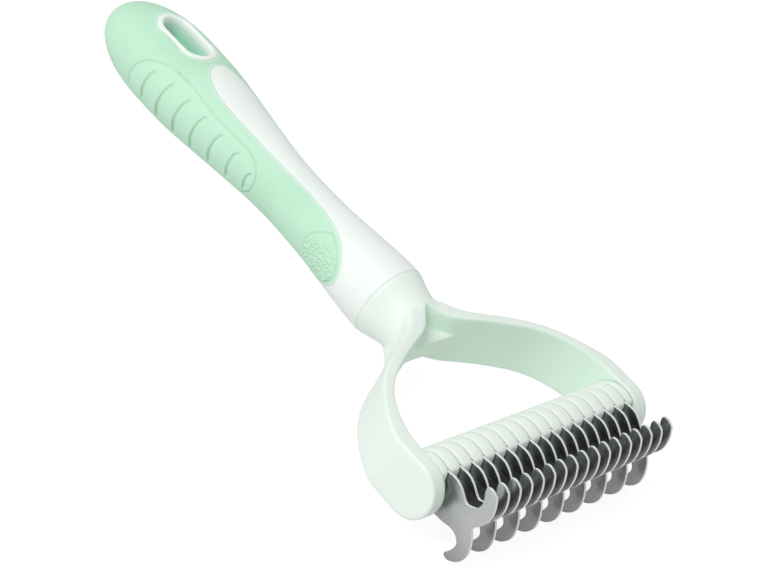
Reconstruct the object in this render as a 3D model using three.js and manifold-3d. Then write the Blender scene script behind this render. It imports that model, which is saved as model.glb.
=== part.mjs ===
// Double-sided undercoat rake: a fork that holds a bar of hooked steel blades, on a two-shot handle.
// Millimetres. X runs along the blade bar, Y from the teeth to the butt of the handle, Z is up.
// Shapes are drawn with Y = 0 and Z = 0 on the blade bar's axis. The whole tool is then moved so that
// the origin lies under the middle of it, at the level of the surface it rests on.

import * as THREE from "three";
import { mergeVertices } from "three/addons/utils/BufferGeometryUtils.js";
import Module from "manifold-3d";

const wasm = await Module();
wasm.setup();

// ---- driving dimensions ----

const gap = 0.3; // clearance between mouldings that touch
const thinGap = 0.1; // clearance between a blade and the ring beside it

const bladePitch = 4.7;
const bladeCount = 17;
const bladeThickness = 0.8;
const ringRadius = 7.8;
const rodRadius = 1.3;
const rodHoleRadius = 1.5;
const rodOffsetY = 1.2; // the rods sit a little towards the handle
const rodOffsetZ = 3.2; // one above the axis, one below it
const rodSeatDepth = 2.4; // depth of the blind holes in the arms

const armInnerX = 40.7;
const armOuterX = 45.5;
const strapHalfWidth = 8.0;
const lobeRadius = 8.2;
const seamY = 53;
const seamRadius = 11.2;
const neckRadius = 8.8;
const tangRadius = 6.0;
const tangLength = 22;

const buttY = 172.8;
const buttStartY = 147; // where the rounded butt begins
const buttRoundness = 2.2; // exponent of the butt's superellipse
const buttHalfThickness = 11.65;
const buttWidthRatio = 1.27; // width over thickness at the butt; the waist is round
const waistY = 92;
const waistRadius = 8.9;
const sleeveThickness = 1.8;

const slotCentreY = 148.4;
const slotLength = 17.2;
const slotWidth = 8.8;
const rimWidth = 1.5;
const rimProud = 0.25; // how far the slot's rim stands out of the grip

const teethFrontY = -19.5; // the furthest point of the coarse hooks
const teethLowZ = -11.9; // the lowest point of the coarse hooks, which the tool rests on

// ---- helpers ----

// A closed three.js geometry as a manifold solid.
function toSolid(geometry) {
  const bare = geometry.clone();
  bare.deleteAttribute("normal");
  bare.deleteAttribute("uv");
  const merged = mergeVertices(bare, 1e-4);
  const index = merged.index.array;
  const faces = [];
  for (let i = 0; i < index.length; i += 3) {
    const [a, b, c] = [index[i], index[i + 1], index[i + 2]];
    if (a !== b && b !== c && c !== a) faces.push(a, b, c);
  }
  const mesh = new wasm.Mesh({
    numProp: 3,
    vertProperties: new Float32Array(merged.attributes.position.array),
    triVerts: new Uint32Array(faces),
  });
  return new wasm.Manifold(mesh);
}

function toGeometry(solid) {
  const mesh = solid.getMesh();
  const geometry = new THREE.BufferGeometry();
  geometry.setAttribute("position", new THREE.BufferAttribute(new Float32Array(mesh.vertProperties), 3));
  geometry.setIndex(new THREE.BufferAttribute(new Uint32Array(mesh.triVerts), 1));
  geometry.computeVertexNormals();
  return geometry;
}

// A plan outline (x, y) made into a prism that runs from lowZ to highZ.
function prism(shape, lowZ, highZ, curveSegments = 12) {
  const geometry = new THREE.ExtrudeGeometry(shape, {
    depth: highZ - lowZ,
    bevelEnabled: false,
    curveSegments,
  });
  return geometry.translate(0, 0, lowZ);
}

// A side outline (y, z) made into a plate across x, from lowX to highX.
function sidePlate(shape, lowX, highX, curveSegments = 12) {
  const geometry = prism(shape, lowX, highX, curveSegments);
  const turn = new THREE.Matrix4().makeBasis(
    new THREE.Vector3(0, 1, 0),
    new THREE.Vector3(0, 0, 1),
    new THREE.Vector3(1, 0, 0),
  );
  return geometry.applyMatrix4(turn);
}

function circleOutline(centreX, centreY, radius, sides) {
  const points = [];
  for (let i = 0; i < sides; i += 1) {
    const angle = (2 * Math.PI * i) / sides;
    points.push(new THREE.Vector2(centreX + radius * Math.cos(angle), centreY + radius * Math.sin(angle)));
  }
  return points;
}

function vectors(points) {
  return points.map(([x, y]) => new THREE.Vector2(x, y));
}

// ---- blades ----

const rodHoleSides = 8;

// The part of a blade that is clamped inside the bar, from the coarse side round to the fine side.
const bladeRoot = [
  [-2.2, -6.3],
  [2.6, -5.7],
  [5.4, -3.0],
  [5.4, 3.0],
  [2.6, 5.7],
  [-0.6, 6.6],
];

// The fine hook: out from the bar, down into the notch, then round the tip and back along the front.
const fineHook = [
  [-3.4, 6.8],
  [-6.3, 7.1],
  [-8.8, 6.2],
  [-11.6, 4.4],
  [-13.0, 4.6],
  [-14.7, 5.7],
  [-15.3, 7.4],
  [-15.0, 9.2],
  [-14.2, 10.8],
  [-14.0, 12.3],
  [-15.1, 12.9],
  [-16.5, 12.6],
  [-17.8, 11.7],
  [-19.0, 8.8],
  [-19.2, 5.4],
  [-18.1, 2.6],
];

// The coarse hook of the double blades, from the waist at the front back to the bar.
const coarseHook = [
  [-16.9, 0.5],
  [-18.2, -1.8],
  [-19.4, -4.8],
  [teethFrontY, -8.0],
  [-18.1, -10.5],
  [-16.0, teethLowZ],
  [-14.6, -11.7],
  [-14.3, -10.8],
  [-15.0, -9.6],
  [-15.7, -7.0],
  [-14.8, -5.3],
  [-12.5, -4.4],
  [-9.2, -5.0],
  [-5.7, -5.4],
];

// The plain lower edge of the single blades.
const plainEdge = [
  [-16.9, 0.6],
  [-14.4, -1.4],
  [-11.4, -2.9],
  [-8.6, -4.0],
  [-5.9, -5.0],
];

function rodHoles() {
  return [-rodOffsetZ, rodOffsetZ].map(
    (z) => new THREE.Path(circleOutline(rodOffsetY, z, rodHoleRadius, rodHoleSides)),
  );
}

function bladeGeometry(lowerEdge) {
  const shape = new THREE.Shape(vectors([...bladeRoot, ...fineHook, ...lowerEdge]));
  shape.holes.push(...rodHoles());
  return sidePlate(shape, -bladeThickness / 2, bladeThickness / 2);
}

// ---- rings and rods of the bar ----

const ringSides = 20;

function ringGeometry(width) {
  const shape = new THREE.Shape(circleOutline(0, 0, ringRadius, ringSides));
  shape.holes.push(...rodHoles());
  return sidePlate(shape, -width / 2, width / 2);
}

const rodLength = 2 * (armInnerX + rodSeatDepth - gap);

function rodGeometry() {
  const geometry = new THREE.CylinderGeometry(rodRadius, rodRadius, rodLength, rodHoleSides);
  return geometry.rotateZ(Math.PI / 2);
}

// ---- yoke ----

// Right half of the fork's plan outline, outside face, from the end of the arm up to the neck.
const yokeOutside = [
  [armOuterX, -lobeRadius],
  [armOuterX, 7.5],
  [44.6, 11.5],
  [42.5, 15.5],
  [38.2, 21.5],
  [32.7, 27.0],
  [25.5, 31.5],
  [17.4, 35.0],
  [12.6, 36.9],
  [9.6, 38.6],
  [7.2, 41.0],
  [5.4, 43.6],
];

// Inside face, from the point of the throat out to the end of the arm.
const yokeInside = [
  [0, 43.2],
  [1.6, 41.4],
  [3.6, 39.0],
  [6.4, 36.8],
  [11.0, 34.7],
  [16.4, 32.5],
  [23.3, 29.2],
  [30.3, 25.0],
  [35.7, 19.6],
  [39.2, 12.8],
  [armInnerX, 8.3],
];

// The small web that ties the two arms together in the point of the throat.
const throatWeb = { halfSpan: 8, frontY: 36, halfThickness: 1.9 };

function mirrored(points) {
  return points.map(([x, y]) => [-x, y]);
}

// A prism on the plan outline whose right half is given, closed by its mirror image.
function mirroredPrism(rightHalf, halfHeight) {
  const leftHalf = mirrored(rightHalf).reverse();
  return toSolid(prism(new THREE.Shape(vectors([...rightHalf, ...leftHalf])), -halfHeight, halfHeight));
}

// Side outline of the fork: round lobes on the blade axis that run into a strap of even width.
function forkSide() {
  const shape = new THREE.Shape();
  const startAngle = Math.asin(strapHalfWidth / lobeRadius);
  shape.absarc(0, 0, lobeRadius, startAngle, 2 * Math.PI - startAngle, false);
  shape.lineTo(seamY, -strapHalfWidth);
  shape.lineTo(seamY, strapHalfWidth);
  return toSolid(sidePlate(shape, -armOuterX - 1, armOuterX + 1, 18));
}

// A round solid about the handle's axis, from a (radius, y) profile.
function turned(profile) {
  return toSolid(new THREE.LatheGeometry(vectors(profile), 28));
}

function neckSolid() {
  const end = seamY - gap / 2;
  return turned([[0, 38], [8.4, 38], [neckRadius, 43], [9.7, 48.4], [seamRadius, end], [0, end]]);
}

function tangSolid() {
  const start = yokeInside[0][1] + 3;
  const end = seamY + tangLength;
  const tip = tangRadius - 1;
  return turned([[0, start], [tangRadius, start], [tangRadius, end - 1], [tip, end], [0, end]]);
}

function yokeSolid() {
  const tall = 2 * lobeRadius;
  const opening = [...yokeInside, [armInnerX, -tall]].reverse();
  const { halfSpan, frontY, halfThickness } = throatWeb;
  const web = mirroredPrism([[halfSpan, frontY], [1, yokeInside[0][1] + 1]], halfThickness);
  let solid = mirroredPrism(yokeOutside, tall).intersect(forkSide()).add(neckSolid());
  solid = solid.subtract(mirroredPrism(opening, tall)).add(web).add(tangSolid());
  for (const z of [-rodOffsetZ, rodOffsetZ]) {
    const length = 2 * (armInnerX + rodSeatDepth);
    const bore = new THREE.CylinderGeometry(rodHoleRadius, rodHoleRadius, length, rodHoleSides);
    bore.rotateZ(Math.PI / 2).translate(0, rodOffsetY, z);
    solid = solid.subtract(toSolid(bore));
  }
  return solid;
}

// ---- handle ----

const handleSides = 32;
const through = 20; // further out than any side of the handle

// Half thickness of the handle along its length, up to the start of the rounded butt.
const handleCurve = new THREE.SplineCurve(
  vectors([
    [seamY, seamRadius],
    [60, 10.95],
    [68, 10.3],
    [79, 9.3],
    [waistY, waistRadius],
    [102, 9.15],
    [114, 10.0],
    [127, 10.95],
    [137, 11.5],
    [buttStartY, buttHalfThickness],
  ]),
);

function widthRatio(y) {
  const t = THREE.MathUtils.smoothstep(y, waistY + 3, 140);
  return 1 + (buttWidthRatio - 1) * t;
}

// Half-thickness profile of the handle, drawn in by inset on every side.
function handleProfile(inset) {
  const points = handleCurve.getSpacedPoints(18).map((p) => [p.x, p.y - inset]);
  const reach = buttY - inset - buttStartY;
  const steps = 9;
  for (let i = 1; i <= steps; i += 1) {
    const angle = (Math.PI / 2) * (i / steps);
    const along = Math.sin(angle) ** (2 / buttRoundness);
    const out = Math.cos(angle) ** (2 / buttRoundness);
    points.push([buttStartY + reach * along, i === steps ? 0 : (buttHalfThickness - inset) * out]);
  }
  return points;
}

// The handle as a solid with oval sections, drawn in by inset on every side, from startY to the butt.
function handleBody(inset, startY) {
  const profile = handleProfile(inset).filter(([y]) => y > startY + 1);
  const outline = [[0, startY], [seamRadius - inset, startY], ...profile.map(([y, radius]) => [radius, y])];
  const geometry = new THREE.LatheGeometry(vectors(outline), handleSides);
  const position = geometry.attributes.position;
  for (let i = 0; i < position.count; i += 1) {
    // The width is drawn in by as much as the thickness, so that the sleeve is even all round.
    const radius = Math.hypot(position.getX(i), position.getZ(i));
    if (radius > 0) {
      const halfWidth = (radius + inset) * widthRatio(position.getY(i)) - inset;
      position.setX(i, (position.getX(i) * halfWidth) / radius);
    }
  }
  return toSolid(geometry);
}

// Half widths of the bare window along the top, from its rounded end to the tips of the grip's side lobes.
const windowEdge = [
  [0, 135.6],
  [2.4, 135.0],
  [4.2, 133.1],
  [5.5, 129.7],
  [6.2, 125.0],
  [5.9, 118.0],
  [5.0, 108.0],
  [4.2, 98.0],
  [4.0, 88.0],
  [4.7, 80.0],
  [6.2, 73.6],
  [9.1, 67.7],
  [12.5, 62.5],
];

// The bare window and the whole head end in front of it, as a prism that is wider by spread all round.
function windowPrism(spread) {
  const curve = new THREE.SplineCurve(vectors(windowEdge));
  const right = [];
  const steps = 26;
  for (let i = 0; i <= steps; i += 1) {
    const point = curve.getPoint(i / steps);
    const tangent = curve.getTangent(i / steps);
    right.push([point.x - tangent.y * spread, point.y + tangent.x * spread]);
  }
  right.push([through, right.at(-1)[1]], [through, seamY - through]);
  return mirroredPrism(right.reverse(), through);
}

// A round-ended slot outline about the slot's centre.
function slotShape(spread) {
  const radius = slotWidth / 2 + spread;
  const halfStraight = (slotLength - slotWidth) / 2;
  const shape = new THREE.Shape();
  shape.absarc(0, slotCentreY + halfStraight, radius, 0, Math.PI, false);
  shape.absarc(0, slotCentreY - halfStraight, radius, Math.PI, 2 * Math.PI, false);
  return shape;
}

function slotPrism(spread, halfHeight) {
  return toSolid(prism(slotShape(spread), -halfHeight, halfHeight, 10));
}

function sleeveSolid() {
  const skin = handleBody(0, seamY + gap / 2);
  const inside = handleBody(sleeveThickness, seamY - 2);
  return skin.subtract(inside).subtract(windowPrism(gap)).subtract(slotPrism(rimWidth + gap, through));
}

function coreSolid() {
  const skin = handleBody(0, seamY + gap / 2);
  const inside = handleBody(sleeveThickness + gap, seamY + gap / 2);
  const rim = handleBody(-rimProud, seamY).intersect(slotPrism(rimWidth, through));
  const socketRadius = tangRadius + gap;
  const socketEnd = seamY + tangLength + 1;
  const socket = [[0, seamY - 1], [socketRadius, seamY - 1], [socketRadius, socketEnd], [0, socketEnd]];
  return skin
    .intersect(windowPrism(0))
    .add(inside)
    .add(rim)
    .subtract(slotPrism(0, through))
    .subtract(turned(socket));
}

// ---- assembly ----

const finishes = {
  steel: { color: 0x85898c, roughness: 0.3, metalness: 1.0 },
  rodSteel: { color: 0xb4b8ba, roughness: 0.35, metalness: 1.0 },
  mintPlastic: { color: 0xdff0e6, roughness: 0.42, metalness: 0.0 },
  whitePlastic: { color: 0xeef4f1, roughness: 0.38, metalness: 0.0 },
  softGrip: { color: 0xbfeccd, roughness: 0.62, metalness: 0.0 },
};

const tool = new THREE.Group();
tool.position.set(0, -(teethFrontY + buttY) / 2, -teethLowZ);

function addPart(name, geometry, finish, x = 0, y = 0, z = 0) {
  const mesh = new THREE.Mesh(geometry, new THREE.MeshStandardMaterial(finishes[finish]));
  mesh.name = name;
  mesh.position.set(x, y, z);
  tool.add(mesh);
}

addPart("handle_core", toGeometry(coreSolid()), "whitePlastic");
addPart("grip_sleeve", toGeometry(sleeveSolid()), "softGrip");
addPart("yoke", toGeometry(yokeSolid()), "mintPlastic");

const middle = (bladeCount - 1) / 2;
let doubles = 0;
let singles = 0;
for (let i = 0; i < bladeCount; i += 1) {
  const x = (i - middle) * bladePitch;
  if (i % 2 === 0) {
    doubles += 1;
    addPart(`blade_double_${doubles}`, bladeGeometry(coarseHook), "steel", x);
  } else {
    singles += 1;
    addPart(`blade_single_${singles}`, bladeGeometry(plainEdge), "steel", x);
  }
}

const ringWidth = bladePitch - bladeThickness - 2 * thinGap;
for (let i = 0; i < bladeCount - 1; i += 1) {
  const x = (i - middle + 0.5) * bladePitch;
  addPart(`spacer_${String(i + 1).padStart(2, "0")}`, ringGeometry(ringWidth), "mintPlastic", x);
}

const endRingStart = middle * bladePitch + bladeThickness / 2 + thinGap;
const endRingWidth = armInnerX - thinGap - endRingStart;
const endRingX = endRingStart + endRingWidth / 2;
addPart("end_spacer_left", ringGeometry(endRingWidth), "mintPlastic", -endRingX);
addPart("end_spacer_right", ringGeometry(endRingWidth), "mintPlastic", endRingX);

addPart("rod_upper", rodGeometry(), "rodSteel", 0, rodOffsetY, rodOffsetZ);
addPart("rod_lower", rodGeometry(), "rodSteel", 0, rodOffsetY, -rodOffsetZ);

export default tool;
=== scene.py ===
import math

import bmesh
import bpy
import numpy as np
from mathutils import Matrix, Quaternion, Vector
from mathutils.kdtree import KDTree


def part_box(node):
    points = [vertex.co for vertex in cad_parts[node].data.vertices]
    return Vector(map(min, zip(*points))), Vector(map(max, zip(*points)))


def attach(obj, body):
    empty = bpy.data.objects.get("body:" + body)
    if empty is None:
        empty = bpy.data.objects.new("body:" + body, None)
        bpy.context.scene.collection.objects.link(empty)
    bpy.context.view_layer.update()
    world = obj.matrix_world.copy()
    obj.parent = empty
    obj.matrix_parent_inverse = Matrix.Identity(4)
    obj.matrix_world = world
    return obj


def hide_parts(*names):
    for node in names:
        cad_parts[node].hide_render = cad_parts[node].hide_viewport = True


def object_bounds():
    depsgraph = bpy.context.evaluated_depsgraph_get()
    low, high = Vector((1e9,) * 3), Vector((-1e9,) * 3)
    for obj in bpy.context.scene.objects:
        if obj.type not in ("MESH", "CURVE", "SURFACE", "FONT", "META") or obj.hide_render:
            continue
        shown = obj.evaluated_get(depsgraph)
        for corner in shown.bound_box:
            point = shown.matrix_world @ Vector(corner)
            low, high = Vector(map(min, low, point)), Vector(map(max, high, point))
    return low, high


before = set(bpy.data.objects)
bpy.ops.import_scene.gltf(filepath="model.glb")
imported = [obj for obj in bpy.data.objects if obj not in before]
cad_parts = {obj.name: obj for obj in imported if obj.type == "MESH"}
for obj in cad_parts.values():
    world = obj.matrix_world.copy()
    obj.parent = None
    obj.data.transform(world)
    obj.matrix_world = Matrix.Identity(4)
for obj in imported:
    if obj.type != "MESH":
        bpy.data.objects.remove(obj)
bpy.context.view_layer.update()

# ---- rods ----
# Two plain steel rods run through the bar and lock its blades and rings against turning.
# They are cut from ground wire and pressed into blind holes in the arms. The bar hides them, so the CAD
# rods stay and only get a material.

MM = 0.001
TO_MM = (1000, 1000, 1000)  # shader coordinates are in metres, and grain is sized in millimetres
GRINDING_DEPTH = 0.00002  # metres
ring_low, ring_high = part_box("spacer_08")
BAR_AXIS = Vector((0, (ring_low.y + ring_high.y) / 2, (ring_low.z + ring_high.z) / 2))


def new_group(name, inputs, outputs):
    """A new shader node group. Inputs are (name, kind, value) and outputs (name, kind)."""
    tree = bpy.data.node_groups.new(name, "ShaderNodeTree")
    for label, kind, value in inputs:
        socket = tree.interface.new_socket(label, in_out="INPUT", socket_type="NodeSocket" + kind)
        socket.default_value = value
    for label, kind in outputs:
        tree.interface.new_socket(label, in_out="OUTPUT", socket_type="NodeSocket" + kind)
    return tree, tree.nodes.new("NodeGroupInput").outputs, tree.nodes.new("NodeGroupOutput").inputs


def add_node(tree, kind, links=(), **settings):
    """A node of that kind; settings are its properties, links pairs of (input, value or socket)."""
    node = tree.nodes.new("ShaderNode" + kind)
    for key, value in settings.items():
        setattr(node, key, value)
    for socket, value in links:
        if isinstance(value, bpy.types.NodeSocket):
            tree.links.new(value, node.inputs[socket])
        else:
            node.inputs[socket].default_value = value
    return node


# Fine lines left by grinding, and the cloudy shine that handling leaves on bare steel.
ground, ground_in, ground_out = new_group(
    "ground steel",
    [("Stretch", "Vector", (60.0, 60.0, 60.0)), ("Dull", "Color", (0.5, 0.5, 0.5, 1)),
     ("Bright", "Color", (0.7, 0.7, 0.7, 1)), ("Smoothest", "Float", 0.25), ("Roughest", "Float", 0.4)],
    [("Color", "Color"), ("Roughness", "Float"), ("Height", "Float")],
)
place = add_node(ground, "TexCoord").outputs["Object"]
in_mm = add_node(ground, "VectorMath", [(0, place), (1, TO_MM)], operation="MULTIPLY")
stretched = add_node(ground, "VectorMath", [(0, in_mm.outputs[0]), (1, ground_in["Stretch"])],
                     operation="MULTIPLY")
lines = add_node(ground, "TexNoise", [("Vector", stretched.outputs[0]), ("Scale", 1.0), ("Detail", 3.0)])
clouds = add_node(ground, "TexNoise", [("Vector", in_mm.outputs[0]), ("Scale", 0.16), ("Detail", 4.0)])
blend = add_node(ground, "Math", [(0, lines.outputs["Fac"]), (1, clouds.outputs["Fac"])], operation="ADD")
spread = add_node(ground, "MapRange", [("Value", blend.outputs[0]), ("From Min", 0.75), ("From Max", 1.25)])
tone = add_node(ground, "MixRGB", [(0, spread.outputs[0]), (1, ground_in["Dull"]), (2, ground_in["Bright"])])
shine = add_node(ground, "MapRange", [("Value", spread.outputs[0]), ("To Min", ground_in["Roughest"]),
                                      ("To Max", ground_in["Smoothest"])])
ground.links.new(tone.outputs[0], ground_out["Color"])
ground.links.new(shine.outputs[0], ground_out["Roughness"])
ground.links.new(lines.outputs["Fac"], ground_out["Height"])


def steel(name, stretch, dull, bright, smoothest, roughest, bump):
    """Bare steel. Stretch gives the direction of its grinding lines, dull and bright its colour."""
    material = bpy.data.materials.new(name)
    material.use_nodes = True
    tree = material.node_tree
    shader = tree.nodes["Principled BSDF"]
    shader.inputs["Metallic"].default_value = 1.0
    finish = add_node(tree, "Group", node_tree=ground)
    for label, value in (("Stretch", stretch), ("Dull", dull), ("Bright", bright),
                         ("Smoothest", smoothest), ("Roughest", roughest)):
        finish.inputs[label].default_value = value
    relief = add_node(tree, "Bump", [("Strength", bump), ("Distance", GRINDING_DEPTH),
                                     ("Height", finish.outputs["Height"])])
    tree.links.new(finish.outputs["Color"], shader.inputs["Base Color"])
    tree.links.new(finish.outputs["Roughness"], shader.inputs["Roughness"])
    tree.links.new(relief.outputs["Normal"], shader.inputs["Normal"])
    return material


rod_steel = steel("rod steel", stretch=(0.3, 9, 9), dull=(0.45, 0.46, 0.47, 1), bright=(0.6, 0.61, 0.62, 1),
                  smoothest=0.25, roughest=0.4, bump=0.4)
for rod in ("rod_upper", "rod_lower"):
    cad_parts[rod].data.materials.clear()
    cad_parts[rod].data.materials.append(rod_steel)

# ---- blades ----
# Seventeen hooked blades stamped from 0.8 mm stainless strip and ground bright round the edge, which also
# carries a painted highlight.
# Nine carry a fine hook and a coarse hook, and the eight between them only the fine hook.
# Each is threaded on the two rods, with a ring on either side of it.

BLADE_PITCH = 4.7
BLADE_COUNT = 17
BLADE_THICKNESS = 0.8
BLADE_EDGE = 0.14  # radius of the ground edge
ROD_CENTRES = ((1.2, -3.2), (1.2, 3.2))
ROD_HOLE_RADIUS = 1.5
ROD_HOLE_SIDES = 24
FLAT_SIDE = 0.9  # a face that looks this much along X is one of the blade's flats, not its edge
SHADE_REACH = 0.014  # how near, in metres, another blade has to be to paint shade on this one
ACROSS = Matrix(((0, 0, 1, 0), (1, 0, 0, 0), (0, 1, 0, 0), (0, 0, 0, 1)))  # stands a (y, z) plan across X

# Outlines are (y, z) in millimetres about the bar's axis.
blade_root = [(-2.2, -6.3), (2.6, -5.7), (5.4, -3.0), (5.4, 3.0), (2.6, 5.7), (-0.6, 6.6)]
fine_hook = [
    (-3.4, 6.8), (-6.3, 7.1), (-8.8, 6.2), (-11.6, 4.4), (-13.0, 4.6), (-14.7, 5.7), (-15.3, 7.4),
    (-15.0, 9.2), (-14.2, 10.8), (-14.0, 12.3), (-15.1, 12.9), (-16.5, 12.6), (-17.8, 11.7),
    (-19.0, 8.8), (-19.2, 5.4), (-18.1, 2.6),
]
coarse_hook = [
    (-16.9, 0.5), (-18.2, -1.8), (-19.4, -4.8), (-19.5, -8.0), (-18.1, -10.5), (-16.0, -11.9),
    (-14.6, -11.7), (-14.3, -10.8), (-15.0, -9.6), (-15.7, -7.0), (-14.8, -5.3), (-12.5, -4.4),
    (-9.2, -5.0), (-5.7, -5.4),
]
plain_edge = [(-16.9, 0.6), (-14.4, -1.4), (-11.4, -2.9), (-8.6, -4.0), (-5.9, -5.0)]


def smooth_line(points, steps, closed=False):
    """A Catmull-Rom curve through the points, with that many steps between each two of them."""
    knots = np.asarray(points, float)
    if closed:
        knots = np.vstack([knots[-1:], knots, knots[:2]])
    else:
        knots = np.vstack([2 * knots[0] - knots[1], knots, 2 * knots[-1] - knots[-2]])
    t = np.linspace(0, 1, steps, endpoint=False)[:, None]
    spans = []
    for before, start, end, after in zip(knots, knots[1:], knots[2:], knots[3:]):
        slope_in, slope_out = (end - before) / 2, (after - start) / 2
        spans.append((2 * t**3 - 3 * t**2 + 1) * start + (t**3 - 2 * t**2 + t) * slope_in
                     + (3 * t**2 - 2 * t**3) * end + (t**3 - t**2) * slope_out)
    line = np.vstack(spans)
    return line if closed else np.vstack([line, knots[-2]])


def circle(centre, radius, count):
    angles = np.linspace(0, 2 * math.pi, count, endpoint=False)
    return np.stack([centre[0] + radius * np.cos(angles), centre[1] + radius * np.sin(angles)], axis=1)


def side_plate(name, outline, holes, thickness, edge):
    """A flat plate across X with rounded edges, from its (y, z) outline, in millimetres."""
    curve = bpy.data.curves.new(name, "CURVE")
    curve.dimensions, curve.fill_mode = "2D", "BOTH"
    curve.extrude, curve.bevel_depth, curve.offset = thickness / 2 - edge, edge, -edge
    curve.bevel_resolution = 2
    for loop in (outline, *holes):
        spline = curve.splines.new("POLY")
        spline.points.add(len(loop) - 1)
        for point, (y, z) in zip(spline.points, loop):
            point.co = (y, z, 0, 1)
        spline.use_cyclic_u = True
    drawn = bpy.data.objects.new(name, curve)
    bpy.context.scene.collection.objects.link(drawn)
    mesh = bpy.data.meshes.new_from_object(drawn.evaluated_get(bpy.context.evaluated_depsgraph_get()))
    bpy.data.objects.remove(drawn)
    mesh.transform(ACROSS)
    return mesh


def finished(mesh, sharp_angle=None):
    """Closes a mesh drawn in millimetres, turns its faces outward and brings it to metres."""
    shell = bmesh.new()
    shell.from_mesh(mesh)
    bmesh.ops.remove_doubles(shell, verts=shell.verts, dist=1e-4)
    bmesh.ops.dissolve_degenerate(shell, edges=shell.edges, dist=1e-5)
    bmesh.ops.recalc_face_normals(shell, faces=shell.faces)
    shell.to_mesh(mesh)
    shell.free()
    mesh.transform(Matrix.Scale(MM, 4))
    mesh.shade_smooth()
    if sharp_angle is not None:
        mesh.set_sharp_from_angle(angle=math.radians(sharp_angle))
    return mesh


def add_piece(name, mesh, material, nodes, x=0.0):
    """Puts a piece on the bar's axis at x and hands it to the frame in place of its CAD nodes."""
    if material is not None:
        mesh.materials.append(material)
    piece = bpy.data.objects.new(name, mesh)
    bpy.context.scene.collection.objects.link(piece)
    piece.location = BAR_AXIS + Vector((x * MM, 0, 0))
    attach(piece, "root")
    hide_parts(*nodes)
    return piece


# The edge steel is near white and half metallic: partly the bright grinding, partly a painted highlight.
edge_steel_with_painted_highlight = steel("ground edge steel with painted highlight", stretch=(8, 8, 8), dull=(0.86, 0.87, 0.88, 1),
                   bright=(0.97, 0.98, 0.98, 1), smoothest=0.3, roughest=0.45, bump=0.2)
edge_steel_with_painted_highlight.node_tree.nodes["Principled BSDF"].inputs["Metallic"].default_value = 0.5
blade_steel = steel("blade steel", stretch=(6, 0.35, 7), dull=(0.60, 0.61, 0.62, 1),
                    bright=(0.70, 0.71, 0.72, 1), smoothest=0.22, roughest=0.34, bump=0.25)
blade_tree = blade_steel.node_tree
# Painted shade: each blade's faces darken towards a dark steel colour where other blades stand near them.
shaded = add_node(blade_tree, "AmbientOcclusion", [("Distance", SHADE_REACH)], samples=8)
between = add_node(blade_tree, "MapRange", [("Value", shaded.outputs["AO"]),
                                            ("From Min", 0.25), ("From Max", 0.97)])
painted_shade_between_blades = add_node(blade_tree, "MixRGB", [(0, between.outputs[0]), (1, (0.27, 0.275, 0.28, 1)),
                                            (2, blade_tree.nodes["Group"].outputs["Color"])])
blade_tree.links.new(painted_shade_between_blades.outputs[0], blade_tree.nodes["Principled BSDF"].inputs["Base Color"])
rod_holes = [circle(centre, ROD_HOLE_RADIUS, ROD_HOLE_SIDES) for centre in ROD_CENTRES]
blade_meshes = {}
for kind, lower_edge in (("double", coarse_hook), ("single", plain_edge)):
    outline = smooth_line(blade_root + fine_hook + lower_edge, steps=7, closed=True)
    plate = side_plate(f"blade {kind}", outline, rod_holes, BLADE_THICKNESS, BLADE_EDGE)
    blade_meshes[kind] = finished(plate, sharp_angle=40)
    blade_meshes[kind].materials.append(blade_steel)
    blade_meshes[kind].materials.append(edge_steel_with_painted_highlight)
    for face in blade_meshes[kind].polygons:
        face.material_index = 0 if abs(face.normal.x) > FLAT_SIDE else 1

middle_blade = (BLADE_COUNT - 1) / 2
for i in range(BLADE_COUNT):
    kind = "single" if i % 2 else "double"
    number = i // 2 + 1
    add_piece(f"ground_blade_{i + 1:02d}", blade_meshes[kind], None,
              [f"blade_{kind}_{number}"], x=(i - middle_blade) * BLADE_PITCH)

# ---- rings ----
# Sixteen crowned rings moulded in pale mint plastic keep the blades apart, with a narrower one at each end.
# Away from the blades their lips reach towards each other, so only a thin groove shows between them.

RING_RADIUS = 7.8
RING_WIDTH = 3.7
RING_CORE_RADIUS = 6.9  # inside this a ring is a plain disc between two blades
RING_LIP = 0.4  # how far a lip reaches past the disc, over the blades' roots
LIP_FOOT = 0.6  # how far down the lip's side goes before it turns in to the disc
LIP_BEVEL = 0.12
RING_CROWN, CROWN_POWER = 0.28, 3.2  # fall of the ring's face towards its edges, and how late it comes
RING_FRONT_RADIUS = 6.2  # in front the ring is cut back, so that the blades stand free
RING_SIDES, CROWN_ROWS = 144, 15
DISC_INSET, DISC_EDGE = 0.65, 0.05
BLADE_SECTOR = (math.radians(113), math.radians(243))  # where the blades leave the bar, from +Y towards +Z
LIP_RUN = 3  # degrees over which the lips end at the sector
CUT_START, CUT_RUN = 2, 20  # degrees into the sector where the cut begins, and over which it deepens
END_RING_X = (38.1, 40.6)
SPARK_DEPTH = 0.00004  # metres

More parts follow.
